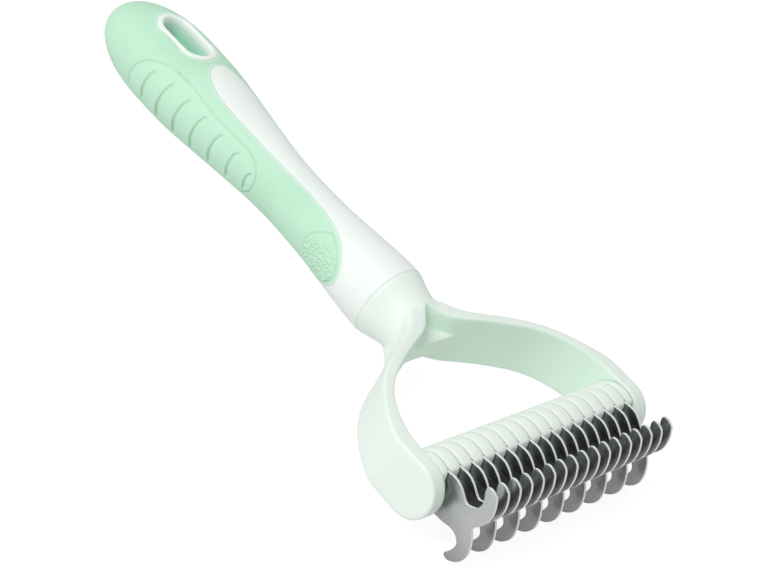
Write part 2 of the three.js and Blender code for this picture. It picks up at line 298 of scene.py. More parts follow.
# Shading of moulded plastic: soft clouding of its colour, a satin sheen that varies, and a fine texture
# left by spark erosion of the mould.
moulded, moulded_in, moulded_out = new_group(
    "moulded plastic",
    [("Light", "Color", (1, 1, 1, 1)), ("Deep", "Color", (0.8, 0.8, 0.8, 1)), ("Grain", "Float", 5.0),
     ("Smoothest", "Float", 0.35), ("Roughest", "Float", 0.45)],
    [("Color", "Color"), ("Roughness", "Float"), ("Height", "Float")],
)
place = add_node(moulded, "TexCoord").outputs["Object"]
in_mm = add_node(moulded, "VectorMath", [(0, place), (1, TO_MM)], operation="MULTIPLY").outputs[0]
clouds = add_node(moulded, "TexNoise", [("Vector", in_mm), ("Scale", 0.07), ("Detail", 3.0)])
mottle = add_node(moulded, "MapRange", [("Value", clouds.outputs["Fac"]),
                                        ("From Min", 0.3), ("From Max", 0.7)])
grain = add_node(moulded, "TexNoise", [("Vector", in_mm), ("Scale", moulded_in["Grain"]), ("Detail", 2.0)])
tone = add_node(moulded, "MixRGB", [(0, mottle.outputs[0]), (1, moulded_in["Light"]),
                                    (2, moulded_in["Deep"])])
rubbed = add_node(moulded, "TexNoise", [("Vector", in_mm), ("Scale", 0.5), ("Detail", 4.0)])
shine = add_node(moulded, "MapRange", [("Value", rubbed.outputs["Fac"]),
                                       ("From Min", 0.3), ("From Max", 0.7),
                                       ("To Min", moulded_in["Smoothest"]),
                                       ("To Max", moulded_in["Roughest"])])
moulded.links.new(tone.outputs[0], moulded_out["Color"])
moulded.links.new(shine.outputs[0], moulded_out["Roughness"])
moulded.links.new(grain.outputs["Fac"], moulded_out["Height"])


def plastic(name, light, deep, crease_shade, crease_shade_reach, grain, smoothest, roughest, bump):
    """A moulded plastic whose colour deepens to a darker tint in its grooves and inner corners, as painted
    shade.
    """
    material = bpy.data.materials.new(name)
    material.use_nodes = True
    tree = material.node_tree
    shader = tree.nodes["Principled BSDF"]
    finish = add_node(tree, "Group", node_tree=moulded)
    for label, value in (("Light", light), ("Deep", deep), ("Grain", grain),
                         ("Smoothest", smoothest), ("Roughest", roughest)):
        finish.inputs[label].default_value = value
    # Painted shade: ambient occlusion darkens the colour towards the crease shade in grooves and inner
    # corners.
    corners = add_node(tree, "AmbientOcclusion", [("Distance", crease_shade_reach * MM)], samples=4)
    open_part = add_node(tree, "MapRange", [("Value", corners.outputs["AO"]),
                                            ("From Min", 0.25), ("From Max", 0.8)])
    tint = add_node(tree, "MixRGB", [(0, open_part.outputs[0]), (1, crease_shade), (2, finish.outputs["Color"])])
    relief = add_node(tree, "Bump", [("Strength", bump), ("Distance", SPARK_DEPTH),
                                     ("Height", finish.outputs["Height"])])
    tree.links.new(tint.outputs[0], shader.inputs["Base Color"])
    tree.links.new(finish.outputs["Roughness"], shader.inputs["Roughness"])
    tree.links.new(relief.outputs["Normal"], shader.inputs["Normal"])
    return material


# Its crease colour is painted shade in the grooves between the rings.
mint_plastic = plastic("pale mint plastic", light=(0.915, 0.96, 0.92, 1), deep=(0.885, 0.945, 0.895, 1),
                       crease_shade=(0.26, 0.46, 0.36, 1), crease_shade_reach=0.8,
                       grain=5.0, smoothest=0.33, roughest=0.45, bump=0.25)


def grid_faces(row_count, column_count, offset=0, wrap_rows=False, wrap_columns=False):
    """Quads that join neighbouring points of a grid of vertices numbered row by row."""
    rows = np.arange(row_count if wrap_rows else row_count - 1)
    columns = np.arange(column_count if wrap_columns else column_count - 1)
    i, j = np.meshgrid(rows, columns, indexing="ij")
    i_next, j_next = (i + 1) % row_count, (j + 1) % column_count
    corners = [i * column_count + j, i * column_count + j_next,
               i_next * column_count + j_next, i_next * column_count + j]
    return np.stack([c.ravel() for c in corners], axis=1) + offset


def mesh_of(name, points, faces):
    mesh = bpy.data.meshes.new(name)
    mesh.from_pydata(np.asarray(points, float).reshape(-1, 3).tolist(), [], np.asarray(faces).tolist())
    return mesh


def crowned_ring(name, left, right, lip_left, lip_right):
    """A ring about the bar's axis whose disc spans left..right, with lips away from the blades."""
    angles = np.linspace(0, 2 * math.pi, RING_SIDES, endpoint=False)
    into_sector = np.minimum(angles - BLADE_SECTOR[0], BLADE_SECTOR[1] - angles) / math.radians(LIP_RUN)
    lip = 1 - np.clip(into_sector + 1, 0, 1)
    cut = np.clip((into_sector * LIP_RUN - CUT_START) / CUT_RUN, 0, 1)
    cut = cut * cut * (3 - 2 * cut) * (RING_RADIUS - RING_FRONT_RADIUS)
    across = np.sin(np.linspace(-math.pi / 2, math.pi / 2, CROWN_ROWS))
    middle, half = (left + right) / 2, (right - left) / 2
    rows = []
    for angle, reach, lower in zip(angles, lip, cut):
        start, end = left - lip_left * reach, right + lip_right * reach
        centre, half_lip = (start + end) / 2, (end - start) / 2
        x = np.concatenate([[middle - half, start], centre + half_lip * across, [end, middle + half]])
        radius = RING_RADIUS - RING_CROWN * np.abs(across) ** CROWN_POWER
        radius = radius - LIP_BEVEL * (np.abs(across) > 0.999)  # only the first and the last row
        foot = min(RING_CORE_RADIUS, RING_RADIUS - lower - LIP_FOOT)
        radius = np.concatenate([[foot - 0.2, foot], radius - lower, [foot, foot - 0.2]])
        rows.append(np.stack([x, radius * math.cos(angle), radius * math.sin(angle)], axis=1))
    band = mesh_of(name, rows, grid_faces(len(rows), len(rows[0]), wrap_rows=True, wrap_columns=True))
    disc_radius = np.minimum(RING_CORE_RADIUS, RING_RADIUS - DISC_INSET - cut)[::2]
    disc_outline = np.stack([disc_radius * np.cos(angles[::2]), disc_radius * np.sin(angles[::2])], axis=1)
    disc = side_plate(name, disc_outline, rod_holes, right - left, DISC_EDGE)
    disc.transform(Matrix.Translation((middle, 0, 0)))
    ring = bmesh.new()
    ring.from_mesh(band)
    ring.from_mesh(disc)
    ring.to_mesh(band)
    ring.free()
    return finished(band, sharp_angle=50)


spacer_mesh = crowned_ring("spacer ring", -RING_WIDTH / 2, RING_WIDTH / 2, RING_LIP, RING_LIP)
for i in range(BLADE_COUNT - 1):
    add_piece(f"crowned_ring_{i + 1:02d}", spacer_mesh, mint_plastic,
              [f"spacer_{i + 1:02d}"], x=(i - middle_blade + 0.5) * BLADE_PITCH)
left_ring = crowned_ring("end ring left", -END_RING_X[1], -END_RING_X[0], 0, RING_LIP)
right_ring = crowned_ring("end ring right", END_RING_X[0], END_RING_X[1], RING_LIP, 0)
add_piece("crowned_ring_left", left_ring, mint_plastic, ["end_spacer_left"])
add_piece("crowned_ring_right", right_ring, mint_plastic, ["end_spacer_right"])

# ---- yoke ----
# The fork is one moulding in pale mint plastic: two strap-like arms that meet in a round neck.
# A small web ties the arms together in the throat, and a tang at the back goes into the handle.
# Its edges are softly rounded all over, so it is shaped as a rough solid and then smoothed.

ARM_INNER_X, ARM_OUTER_X = 40.7, 45.5
STRAP_HALF_WIDTH = 8.0
LOBE_RADIUS = 8.2
SEAM_Y = 53.0
SEAM_GAP = 0.14
TANG_RADIUS, TANG_LENGTH = 6.0, 22.0
TANG_START_Y, TANG_CHAMFER = 47.0, 1
ROD_SEAT_DEPTH = 2.4
WEB_LOW, WEB_HIGH = -3.2, 2.1
YOKE_VOXEL = 0.42
TALL = 20.0
SIDE_MARGIN = 5

# The edges are softened all over, but less on the web. The neck is melted into the arms some more.
EDGE_PASSES, NECK_PASSES = 13, 30
WEB_ZONE_X, WEB_ZONE_Y, WEB_ZONE_Z = 9.5, (35, 45), 4
WEB_SOFTNESS = 0.3
NECK_ZONE_X, NECK_FADE_X = 22, 8
NECK_ZONE_Y, NECK_FADE_Y = (35, 50.5), 3
NECK_ZONE_Z, NECK_FADE_Z = 3.8, 1.5

yoke_outside = [
    (ARM_OUTER_X, -LOBE_RADIUS), (45.5, 0), (45.5, 7.5), (44.6, 11.5), (42.5, 15.5), (38.2, 21.5),
    (32.7, 27.0), (25.5, 31.6), (18.0, 35.3), (13.4, 37.7), (10.4, 39.7), (8.3, 41.7), (6.6, 44.0),
]
yoke_inside = [
    (0, 43.2), (1.6, 41.4), (3.6, 39.0), (6.4, 36.8), (11.0, 34.7), (16.4, 32.5), (23.3, 29.2),
    (30.3, 25.0), (35.7, 19.6), (39.2, 12.8), (40.6, 6.5), (ARM_INNER_X, 0), (ARM_INNER_X, -LOBE_RADIUS),
    (ARM_INNER_X, -TALL),
]
throat_web = [(8.6, 35.4), (4.6, 38.0), (2.4, 41.0), (1.0, 44.2)]
neck_profile = [(38.0, 8.4), (43.0, 8.8), (48.4, 9.7), (52.6, 11.05), (SEAM_Y + 0.35, 11.15)]


def block(name, outline, low, high, turn=None):
    """A straight-sided solid on a plan outline (x, y), from low to high in Z, as a hidden tool."""
    count = len(outline)
    points = [(x, y, z) for z in (low, high) for x, y in outline]
    shell = bmesh.new()
    verts = [shell.verts.new(p) for p in points]
    ends = [shell.faces.new(verts[:count][::-1]), shell.faces.new(verts[count:])]
    for i in range(count):
        j = (i + 1) % count
        shell.faces.new((verts[i], verts[j], verts[count + j], verts[count + i]))
    bmesh.ops.triangulate(shell, faces=ends)
    if turn is not None:
        bmesh.ops.transform(shell, matrix=turn, verts=shell.verts)
    bmesh.ops.recalc_face_normals(shell, faces=shell.faces)
    return solid_from(name, shell)


def solid_from(name, shell):
    mesh = bpy.data.meshes.new(name)
    shell.to_mesh(mesh)
    shell.free()
    solid = bpy.data.objects.new(name, mesh)
    bpy.context.scene.collection.objects.link(solid)
    return solid


def turned_solid(name, profile, sides=72):
    """A round solid about the Y axis, from a (y, radius) profile whose ends are closed."""
    angles = np.linspace(0, 2 * math.pi, sides, endpoint=False)
    rows = [(y, 0.0) for y, _ in profile[:1]] + list(profile) + [(y, 0.0) for y, _ in profile[-1:]]
    points = [[(r * math.cos(a), y, r * math.sin(a)) for a in angles] for y, r in rows]
    shell = bmesh.new()
    shell.from_mesh(mesh_of(name, points, grid_faces(len(rows), len(angles), wrap_columns=True)))
    bmesh.ops.remove_doubles(shell, verts=shell.verts, dist=1e-5)
    bmesh.ops.recalc_face_normals(shell, faces=shell.faces)
    return solid_from(name, shell)


def both_halves(right):
    """A whole outline from its +X half."""
    return list(right) + [(-x, y) for x, y in reversed(right) if abs(x) > 1e-9]


def fade(distance, run):
    return min(1.0, max(0.0, distance / run))


def apply_modifiers(solid):
    mesh = bpy.data.meshes.new_from_object(solid.evaluated_get(bpy.context.evaluated_depsgraph_get()))
    solid.modifiers.clear()
    solid.data = mesh


def combine(solid, tool, operation):
    """Joins a hidden tool to a solid or cuts it out, and then removes the tool."""
    cut = solid.modifiers.new(operation.lower(), "BOOLEAN")
    cut.operation, cut.solver, cut.object = operation, "EXACT", tool
    apply_modifiers(solid)
    bpy.data.objects.remove(tool)


yoke = block("yoke rough", both_halves(smooth_line(yoke_outside, 6)), -TALL, TALL)
lobe_start = math.asin(STRAP_HALF_WIDTH / LOBE_RADIUS)
lobe = [(LOBE_RADIUS * math.cos(a), LOBE_RADIUS * math.sin(a))
        for a in np.linspace(lobe_start, 2 * math.pi - lobe_start, 60)]
side_outline = lobe + [(SEAM_Y, -STRAP_HALF_WIDTH), (SEAM_Y, STRAP_HALF_WIDTH)]
side_reach = ARM_OUTER_X + SIDE_MARGIN
combine(yoke, block("side", side_outline, -side_reach, side_reach, ACROSS), "INTERSECT")
combine(yoke, turned_solid("neck", smooth_line(neck_profile, 5)), "UNION")
combine(yoke, block("opening", both_halves(smooth_line(yoke_inside, 6)), -TALL, TALL), "DIFFERENCE")
combine(yoke, block("web", both_halves(throat_web), WEB_LOW, WEB_HIGH), "UNION")
tang_end = SEAM_Y + TANG_LENGTH
combine(yoke, turned_solid("tang", [(TANG_START_Y, TANG_RADIUS), (tang_end - TANG_CHAMFER, TANG_RADIUS),
                                    (tang_end, TANG_RADIUS - TANG_CHAMFER)]), "UNION")
bore_end = ARM_INNER_X + ROD_SEAT_DEPTH
for hole in rod_holes:
    combine(yoke, block("bore", hole, -bore_end, bore_end, ACROSS), "DIFFERENCE")

remesh = yoke.modifiers.new("one skin", "REMESH")
remesh.mode, remesh.voxel_size = "VOXEL", YOKE_VOXEL
apply_modifiers(yoke)
blend_zone = yoke.vertex_groups.new(name="neck blend")
for vertex in yoke.data.vertices:
    x, y, z = vertex.co
    near = fade(NECK_ZONE_X - abs(x), NECK_FADE_X) * fade(NECK_ZONE_Y[1] - y, NECK_FADE_Y)
    near *= fade(y - NECK_ZONE_Y[0], NECK_FADE_Y) * fade(abs(z) - NECK_ZONE_Z, NECK_FADE_Z)
    if near > 0:
        blend_zone.add([vertex.index], near, "REPLACE")
soft_zone = yoke.vertex_groups.new(name="soft edges")
for vertex in yoke.data.vertices:
    x, y, z = vertex.co
    on_web = abs(x) < WEB_ZONE_X and WEB_ZONE_Y[0] < y < WEB_ZONE_Y[1] and abs(z) < WEB_ZONE_Z
    soft_zone.add([vertex.index], WEB_SOFTNESS if on_web else 1.0, "REPLACE")
soften = yoke.modifiers.new("soft edges", "SMOOTH")
soften.factor, soften.iterations, soften.vertex_group = 0.5, EDGE_PASSES, "soft edges"
melt = yoke.modifiers.new("neck melts into the arms", "SMOOTH")
melt.factor, melt.iterations, melt.vertex_group = 0.5, NECK_PASSES, "neck blend"
apply_modifiers(yoke)
yoke_mesh = finished(yoke.data)
bpy.data.objects.remove(yoke)


def tint_where(material, mark, colour, strength=1.0):
    """Turns a material's colour towards another where its mesh carries that mark."""
    tree = material.node_tree
    base = tree.nodes["Principled BSDF"].inputs["Base Color"]
    amount = add_node(tree, "Attribute", attribute_name=mark).outputs["Fac"]
    share = add_node(tree, "Math", [(0, amount), (1, strength)], operation="MULTIPLY").outputs[0]
    mixed = add_node(tree, "MixRGB", [(0, share), (1, base.links[0].from_socket), (2, colour)])
    tree.links.new(mixed.outputs[0], base)


# Its crease colour is painted shade in the fork's inner corners.
fork_plastic = plastic("pale mint plastic of the fork", light=(0.87, 0.945, 0.89, 1),
                       deep=(0.84, 0.93, 0.865, 1), crease_shade=(0.34, 0.56, 0.44, 1), crease_shade_reach=1.0,
                       grain=5.0, smoothest=0.33, roughest=0.45, bump=0.25)
tint_where(fork_plastic, "inward", (0.755, 0.94, 0.80, 1))

# Light that bounces between the arms deepens the mint on the faces that look into the fork. In metres:
FORK_MIDDLE = np.array([0, 0.014, 0])
FLATTEN = (1, 1, 0.3)  # height counts for less in where a face looks
LOOK_START, LOOK_RUN = 0.1, 0.6
NECK_LIMIT, NECK_RUN = 0.046, 0.004  # the tint ends before the neck
BAR_LEAST, BAR_RUN = 0.4, 0.02  # and it is weaker near the bar
points = np.empty(len(yoke_mesh.vertices) * 3)
normals = np.empty(len(yoke_mesh.vertices) * 3)
yoke_mesh.vertices.foreach_get("co", points)
yoke_mesh.vertex_normals.foreach_get("vector", normals)
points, normals = points.reshape(-1, 3), normals.reshape(-1, 3)
to_middle = FORK_MIDDLE - points * FLATTEN
to_middle /= np.linalg.norm(to_middle, axis=1, keepdims=True)
looks_in = np.clip((np.sum(normals * to_middle, axis=1) - LOOK_START) / LOOK_RUN, 0, 1)
before_neck = np.clip((NECK_LIMIT - points[:, 1]) / NECK_RUN, 0, 1)
looks_in *= before_neck * np.clip(BAR_LEAST + points[:, 1] / BAR_RUN, BAR_LEAST, 1)
layer = yoke_mesh.attributes.new("inward", "FLOAT", "POINT")
layer.data.foreach_set("value", looks_in.astype(np.float32))
add_piece("fork", yoke_mesh, fork_plastic, ["yoke"])

# ---- handle core ----
# The hard white core of the handle is moulded first. It shows at the head end, in the long window on the
# top and underside, and as the raised rim of the hanging slot. Its window edges are finely rounded.

BUTT_START_Y, BUTT_Y = 147.0, 172.8
BUTT_HALF_THICKNESS = 11.65
BUTT_ROUNDNESS = 2.2
BUTT_WIDTH_RATIO = 1.27
WIDENING_START_Y, WIDENING_RUN = 95, 45  # from round at the waist to oval at the butt
HANDLE_START_Y = SEAM_Y + SEAM_GAP / 2
CORE_STEP = 1.1  # depth of the seat that the grip is moulded into
CORE_EDGE = 0.1
HEAD_ROUND = 0.6
WINDOW_COLUMNS, SEAT_COLUMNS = 26, 14
WINDOW_GAP = 0.01  # the parting line between core and grip

half_thickness = smooth_line([(SEAM_Y, 11.2), (60, 10.95), (68, 10.3), (79, 9.3), (92, 8.9), (102, 9.15),
                              (114, 10.0), (127, 10.95), (137, 11.5),
                              (BUTT_START_Y, BUTT_HALF_THICKNESS)], steps=12)
window_line = smooth_line([(0, 135.6), (2.4, 135.0), (4.2, 133.1), (5.5, 129.7), (6.2, 125.0),
                           (5.9, 118.0), (5.0, 108.0), (4.2, 98.0), (4.0, 88.0), (4.6, 80.0),
                           (6.0, 73.6), (8.8, 67.3), (12.3, 61.5)], steps=12)


def skin_radii(y):
    """Half width and half thickness of the handle at y."""
    thick = np.interp(y, half_thickness[:, 0], half_thickness[:, 1])
    beyond = np.clip((y - BUTT_START_Y) / (BUTT_Y - BUTT_START_Y), 0, 1)
    butt = BUTT_HALF_THICKNESS * (1 - beyond**BUTT_ROUNDNESS) ** (1 / BUTT_ROUNDNESS)
    thick = np.where(y > BUTT_START_Y, butt, thick)
    t = np.clip((y - WIDENING_START_Y) / WIDENING_RUN, 0, 1)
    return thick * (1 + (BUTT_WIDTH_RATIO - 1) * t * t * (3 - 2 * t)), thick


def skin(y, turn, inset=0.0):
    """Points of the handle's surface: turn runs from 0 on top to pi underneath."""
    wide, thick = skin_radii(y)
    wide, thick = np.maximum(wide - inset, 0), np.maximum(thick - inset, 0)
    return np.stack([wide * np.sin(turn), y + 0 * turn, thick * np.cos(turn)], axis=-1)


def skin_normals(y, turn):
    step = 1e-3
    along = skin(np.minimum(y + step, BUTT_Y), turn) - skin(y - step, turn)
    around = skin(y, turn + step) - skin(y, turn - step)
    normal = np.cross(around, along)
    length = np.linalg.norm(normal, axis=-1, keepdims=True)
    facing = np.where(length > 1e-12, normal / np.maximum(length, 1e-12), (0, 1, 0))
    outward = skin(y, turn) * (1, 0, 1)
    return np.where(np.sum(facing * outward, axis=-1, keepdims=True) < 0, -facing, facing)


def window_half_width(y, spread):
    """Half width of the window at y when its edge is moved outward by spread."""
    direction = np.gradient(window_line, axis=0)
    direction /= np.linalg.norm(direction, axis=1, keepdims=True)
    x = window_line[:, 0] - direction[:, 1] * spread
    along = window_line[:, 1] + direction[:, 0] * spread
    return np.interp(y, along[::-1], x[::-1], right=0.0)


def stations(*spans):
    """Places along the handle: each span is (start, end, step, easing towards 'start', 'end' or None)."""
    places = []
    for start, end, step, ease in spans:
        t = np.linspace(0, 1, max(2, math.ceil((end - start) / step) + 1))
        t = {"start": t**2, "end": 1 - (1 - t) ** 2, None: t}[ease]
        places.append(start + (end - start) * t)
    joined = np.unique(np.concatenate(places))
    return joined[np.concatenate([[True], np.diff(joined) > 1e-4])]


def lobe_tip(spread):
    """Where the window's edge reaches the side of the handle."""
    along = np.linspace(60, 80, 4001)
    return along[window_half_width(along, spread) >= skin_radii(along)[0]].max()


def rounding(distance, radius):
    """Drop of a surface at that distance from its rounded edge."""
    inside = np.clip(radius - distance, 0, radius)
    return radius - np.sqrt(radius**2 - inside**2)


def mirrored_shell(name, half, wrap_columns, **marks):
    """Joins a grid of points on the +X side to its mirror image. Marks are values kept at each point."""
    row_count, column_count, _ = half.shape
    points = half.reshape(-1, 3)
    faces = grid_faces(row_count, column_count, wrap_columns=wrap_columns)
    faces = faces[np.abs(points[faces][:, :, 0]).max(axis=1) > 1e-6]
    other = points * (-1, 1, 1)
    mesh = mesh_of(name, np.vstack([points, other]), np.vstack([faces, faces[:, ::-1] + len(points)]))
    for label, values in marks.items():
        layer = mesh.attributes.new(label, "FLOAT", "POINT")
        layer.data.foreach_set("value", np.tile(values.ravel(), 2).astype(np.float32))
    return mesh


window_tip = window_line[0, 1]
core_tip = lobe_tip(0)
core_end = window_tip + 1.6
core_rows = stations((HANDLE_START_Y, HANDLE_START_Y + 0.4, 0.08, None),
                     (HANDLE_START_Y + 0.4, core_tip, 0.6, None),
                     (core_tip, core_tip + 3, 0.2, "start"), (core_tip + 3, window_tip - 2.5, 0.6, None),
                     (window_tip - 2.5, window_tip, 0.15, "end"), (window_tip, core_end, 0.4, None))
window_turn = np.arcsin(np.clip(window_half_width(core_rows, 0) / skin_radii(core_rows)[0], 0, 1))
across_window = 1 - (1 - np.linspace(0, 1, WINDOW_COLUMNS)) ** 1.7  # closer together at the edge
across_seat = np.linspace(0, 1, SEAT_COLUMNS)
y, turn_edge = core_rows[:, None], window_turn[:, None]
turn = np.hstack([turn_edge * across_window, turn_edge + (math.pi - 2 * turn_edge) * across_seat,
                  math.pi - turn_edge * across_window[::-1]])
seat_width = (math.pi - 2 * turn_edge) * skin_radii(y)[1]
edge_distance = np.abs(turn_edge - turn[:, :WINDOW_COLUMNS]) * skin_radii(y)[0] * np.cos(turn_edge / 2)
edge_drop = np.where(seat_width > 0, rounding(edge_distance, CORE_EDGE), 0)
head_round = rounding(y - HANDLE_START_Y, HEAD_ROUND)
seat_depth = np.minimum(CORE_STEP, seat_width) * np.ones((1, SEAT_COLUMNS))
inset = np.hstack([edge_drop, seat_depth, edge_drop[:, ::-1]]) + head_round
core_points = skin(y, turn, inset)
front = core_points[:1] * (0, 1, 0)
back = core_points[-1:] * (0, 1, 0)
core_mesh = mirrored_shell("core", np.concatenate([front, core_points, back]), wrap_columns=False)

SLOT_CENTRE_Y, SLOT_LENGTH, SLOT_WIDTH = 148.4, 16.5, 8.0
RIM_WIDTH = 2.0
RIM_PROUD = 0.22
RIM_FOOT = -1.6  # the rim starts this far under the skin
RIM_OUTER_ROLL = (0.7, 0.3)  # how far the rim's lip rolls: outward and down
RIM_INNER_ROLL = (1.0, 2.2)
WALL_ROWS = 14
SLOT_TINT_START, SLOT_TINT_RUN = 1.1, 3.4  # depth where the mint begins inside the slot, and its run


def slot_path(spread, count=128):
    """Points round the slot's outline moved outward by spread, evenly by direction."""
    radius, straight = SLOT_WIDTH / 2 + spread, (SLOT_LENGTH - SLOT_WIDTH) / 2
    angles = np.linspace(0, 2 * math.pi, count, endpoint=False) + math.pi / count
    arc = np.stack([radius * np.cos(angles), radius * np.sin(angles)], axis=1)
    arc[:, 1] += np.where(arc[:, 1] > 0, straight, -straight) + SLOT_CENTRE_Y
    return arc


def surface_height(plan):
    wide, thick = skin_radii(plan[:, 1])
    return thick * np.sqrt(np.clip(1 - (plan[:, 0] / np.maximum(wide, 1e-6)) ** 2, 0, 1))


# The rim's section from its outer foot over the lip and into the slot: outward distance and height.
lip_arc = np.linspace(0, math.pi / 2, 9)
rim_section = [(RIM_WIDTH, RIM_FOOT)]
rim_section += [(RIM_WIDTH - RIM_OUTER_ROLL[0] * (1 - math.cos(a)),
                 RIM_PROUD - RIM_OUTER_ROLL[1] * (1 - math.sin(a))) for a in lip_arc]
rim_section += [(RIM_INNER_ROLL[0] * (1 - math.sin(a)),
                 RIM_PROUD - RIM_INNER_ROLL[1] * (1 - math.cos(a))) for a in lip_arc]
upper_loops = []
for outward, height in rim_section:
    plan = slot_path(outward)
    upper_loops.append(np.column_stack([plan, surface_height(plan) + height]))
wall_top = upper_loops[-1]
wall_loops = [wall_top * (1, 1, 1 - 2 * t) for t in np.linspace(0, 1, WALL_ROWS)[1:-1]]
lower_loops = [loop * (1, 1, -1) for loop in reversed(upper_loops)]
rim_loops = np.array(upper_loops + wall_loops + lower_loops)
rim_mesh = mesh_of("rim", rim_loops, grid_faces(len(rim_loops), rim_loops.shape[1],
                                                 wrap_rows=True, wrap_columns=True))
# Deeper in the slot the wall turns mint: the rubber that lines the slot, darkened further down as painted
# shade.
depth = surface_height(slot_path(0)) - np.abs(rim_loops[..., 2])
inside_slot = (np.arange(len(rim_loops)) >= len(rim_section) - 1)[:, None]
deep = np.clip((depth - SLOT_TINT_START) / SLOT_TINT_RUN, 0, 1) * inside_slot
deep[len(upper_loops) + len(wall_loops) + 1:] = 0
layer = rim_mesh.attributes.new("slot_depth", "FLOAT", "POINT")
layer.data.foreach_set("value", deep.ravel().astype(np.float32))
whole_core = bmesh.new()
whole_core.from_mesh(core_mesh)
whole_core.from_mesh(rim_mesh)
whole_core.to_mesh(core_mesh)
whole_core.free()

# Its crease colour is painted shade in the seams and the rounded window edges.
white_plastic = plastic("white plastic", light=(0.91, 0.945, 0.925, 1), deep=(0.885, 0.93, 0.905, 1),
                        crease_shade=(0.62, 0.72, 0.66, 1), crease_shade_reach=1.0,
                        grain=6.0, smoothest=0.4, roughest=0.52, bump=0.2)
# Mint of the slot's rubber lining, with painted shade deeper in the slot.
tint_where(white_plastic, "slot_depth", (0.45, 0.81, 0.63, 1))
add_piece("core", finished(core_mesh), white_plastic, ["handle_core"])

# ---- soft grip ----
# The mint rubber grip is moulded over the core. It wraps the sides and the whole butt, and leaves the
# window and the slot's rim bare. Each side has a finger panel with shallow crescents and a pebbled pad.

GRIP_EDGE = 0.16  # radius of the grip's rounded edge
GRIP_SKIRT = 1.0  # and how far its side goes down below that
GRIP_COLUMNS = 114
INNER_COLUMNS = 8
PANEL_GROOVE = (0.36, 0.24)  # depth and half width of the line round the finger panel
PANEL_LIP = (0.06, 0.6, 0.25)  # height of the lip inside that line, its distance from it, its half width
CRESCENT_DEPTH = 0.68
CRESCENT_WIDTH = 1.75
CRESCENT_BOW = 0.5
STEP_SHADE_LINE = (0.12, 0.2)  # place and half width of the painted shade line along a crescent's deep side
PEBBLE_PITCH = 1.2
PEBBLE_ROW_RATIO = 0.866  # rows of a honeycomb
PEBBLE_HEIGHT = 0.4
PEBBLE_JITTER = 0.75
PAD_MARGIN = 1.45
PAD_LINE = (0.28, 0.24)  # depth and half width of the groove round the pad
FEATHER_REACH = 0.75  # how far the grip pales from the window's edge, where it is thin

# Half of the finger panel's outline: place along the handle, and degrees round from the top.
PANEL_MIDDLE = 93.0
panel_half = [(149.9, 93), (149.4, 82), (148.7, 75), (147.2, 67), (145.3, 62), (143.1, 57), (140.2, 53),
              (136.6, 51), (130.4, 51), (127.1, 53), (121, 55), (110, 54), (107.7, 55), (105.2, 59),
              (103.1, 68), (101.6, 81), (101.3, 93)]
panel_outline = smooth_line(panel_half + [(y, 2 * PANEL_MIDDLE - a) for y, a in panel_half[-2:0:-1]], steps=6,
                            closed=True)
# Each crescent: place of its deep side along the handle, and its two ends in degrees.
crescents = [(144.4, 68, 112), (137.8, 63, 118), (131.1, 62, 120), (124.5, 63, 121), (117.8, 64, 120),
             (111.1, 66, 120), (104.7, 77, 116)]


def degrees_round(points):
    """Direction of each point about the handle's axis, in degrees from the top."""
    return np.degrees(np.arctan2(points[..., 0], points[..., 2]))


def surface_at(y, degrees):
    """Points on the skin in that direction about the axis."""
    wide, thick = skin_radii(y)
    angle = np.radians(degrees)
    radius = 1 / np.sqrt((np.sin(angle) / wide) ** 2 + (np.cos(angle) / thick) ** 2)
    return np.stack([radius * np.sin(angle), y, radius * np.cos(angle)], axis=-1)


def distances(points, line):
    """Distance from each point to the nearest point of a finely divided line."""
    tree = KDTree(len(line))
    for i, point in enumerate(line):
        tree.insert(point, i)
    tree.balance()
    flat = points.reshape(-1, 3)
    return np.array([tree.find(p)[2] for p in flat]).reshape(points.shape[:-1])


def inside_outline(u, v, outline):
    """Which points (u, v) lie inside a closed outline."""
    inside = np.zeros(u.shape, bool)
    for (u0, v0), (u1, v1) in zip(outline, np.roll(outline, -1, axis=0)):
        crosses = ((v0 > v) != (v1 > v)) & (u < (u1 - u0) * (v - v0) / (v1 - v0 + 1e-12) + u0)
        inside ^= crosses
    return inside


grip_tip = lobe_tip(WINDOW_GAP)
grip_window_tip = window_tip + WINDOW_GAP
rim_reach = SLOT_LENGTH / 2 + RIM_WIDTH + WINDOW_GAP
rim_near, rim_far = SLOT_CENTRE_Y - rim_reach, SLOT_CENTRE_Y + rim_reach
butt_turn = np.linspace(0, math.pi / 2, 40)
butt_rows = BUTT_START_Y + (BUTT_Y - BUTT_START_Y) * np.sin(butt_turn) ** (2 / BUTT_ROUNDNESS)
grip_rows = stations((grip_tip, grip_tip + 3, 0.16, "start"), (grip_tip + 3, 81, 0.22, None),
                     (81, 100, 0.8, None), (100, 133, 0.25, None), (133, grip_window_tip, 0.12, "end"),
                     (grip_window_tip, rim_near, 0.2, None), (rim_near, rim_near + 3, 0.14, "start"),
                     (rim_near + 3, 151, 0.25, None), (151, rim_far - 3, 0.4, None),
                     (rim_far - 3, rim_far, 0.14, "end"))
grip_rows = np.concatenate([grip_rows, butt_rows[butt_rows > rim_far + 0.05]])
rim_radius = SLOT_WIDTH / 2 + RIM_WIDTH + WINDOW_GAP
past_straight = np.maximum(np.abs(grip_rows - SLOT_CENTRE_Y) - (SLOT_LENGTH - SLOT_WIDTH) / 2, 0)
rim_half_width = np.sqrt(np.clip(rim_radius**2 - past_straight**2, 0, None))
edge_half_width = np.maximum(window_half_width(grip_rows, WINDOW_GAP), rim_half_width)
wide = np.maximum(skin_radii(grip_rows)[0], 1e-6)
edge_turn = np.arcsin(np.clip(edge_half_width / wide, 0, 1))[:, None]

